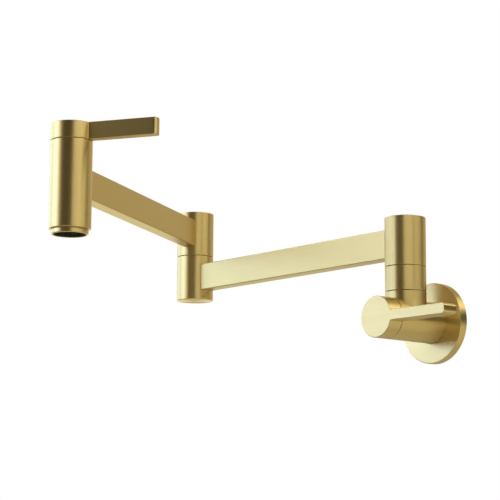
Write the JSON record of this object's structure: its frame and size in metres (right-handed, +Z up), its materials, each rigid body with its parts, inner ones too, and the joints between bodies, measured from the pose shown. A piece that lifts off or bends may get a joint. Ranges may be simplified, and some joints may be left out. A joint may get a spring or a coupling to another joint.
{
  "type": "wall mounted pot filler",
  "caption": "Wall mounted swinging cold tap: round wall flange, valve barrel, two flat jointed arms and an upright spout head, with a lever valve at each end.",
  "frame": {"origin": "centre of the water inlet, in the plane of the finished wall", "axes": "+Z up, +X to the right along the wall, +Y into the wall; the tap stands out towards -Y"},
  "size_m": [0.3894, 0.3284, 0.1949],
  "materials": {
    "brushed_gold": "fine brushed pale gold plating, satin",
    "bare_brass": "machined, unplated",
    "screw_steel": "plain machined",
    "seal_rubber": "matt black",
    "foam": "closed-cell foam, matt",
    "white_plastic": "moulded, satin",
    "black_plastic": "moulded, satin",
    "ceramic": "lapped alumina, smooth"
  },
  "bodies": {
    "wall_side": {"wall_flange": "brushed_gold", "flange_grip_ring": "seal_rubber", "flange_gasket": "foam", "inlet_adapter": "bare_brass", "adapter_o_ring_1": "seal_rubber", "adapter_o_ring_2": "seal_rubber", "valve_body": "brushed_gold", "body_set_screw": "screw_steel", "wall_cartridge_housing": "white_plastic", "wall_ceramic_disc_fixed": "ceramic", "wall_cartridge_seal": "seal_rubber", "wall_cartridge_nut": "bare_brass", "post_collar": "brushed_gold", "post_thrust_washer": "white_plastic", "post_spindle": "bare_brass", "post_o_ring_1": "seal_rubber", "post_o_ring_2": "seal_rubber", "post_top_washer": "white_plastic", "post_nut": "bare_brass"},
    "wall_lever": {"wall_handle": "brushed_gold", "wall_handle_screw": "screw_steel", "wall_stem": "bare_brass", "wall_ceramic_disc_moving": "ceramic"},
    "inner_arm": {"post_swivel": "brushed_gold", "post_cap": "brushed_gold", "arm_1": "brushed_gold", "elbow_lower": "brushed_gold", "elbow_thrust_washer": "white_plastic", "elbow_spindle": "bare_brass", "elbow_o_ring_1": "seal_rubber", "elbow_o_ring_2": "seal_rubber", "elbow_top_washer": "white_plastic", "elbow_nut": "bare_brass"},
    "outer_arm": {"elbow_upper": "brushed_gold", "elbow_cap": "brushed_gold", "arm_2": "brushed_gold", "spout_head": "brushed_gold", "aerator_housing": "brushed_gold", "aerator_insert": "black_plastic", "aerator_gasket": "seal_rubber", "spout_cartridge_housing": "white_plastic", "spout_ceramic_disc_fixed": "ceramic", "spout_cartridge_seal": "seal_rubber", "spout_cartridge_nut": "bare_brass"},
    "spout_lever": {"spout_handle": "brushed_gold", "spout_handle_screw": "screw_steel", "spout_stem": "bare_brass", "spout_ceramic_disc_moving": "ceramic"}
  },
  "joints": [
    {"name": "wall_lever_turn", "type": "hinge", "parent": "wall_side", "child": "wall_lever", "pos_m": [0, -0.068, 0], "axis": [0, 1, 0], "range_deg": [0, 90]},
    {"name": "post_turn", "type": "hinge", "parent": "wall_side", "child": "inner_arm", "pos_m": [0, -0.039, 0.0681], "axis": [0, 0, 1], "range_deg": [0, 180]},
    {"name": "elbow_turn", "type": "hinge", "parent": "inner_arm", "child": "outer_arm", "pos_m": [-0.292, -0.039, 0.1119], "axis": [0, 0, 1], "range_deg": [-290, 50]},
    {"name": "spout_lever_turn", "type": "hinge", "parent": "outer_arm", "child": "spout_lever", "pos_m": [-0.146, -0.29188, 0.152], "axis": [0, 0, -1], "range_deg": [0, 90]}
  ]
}
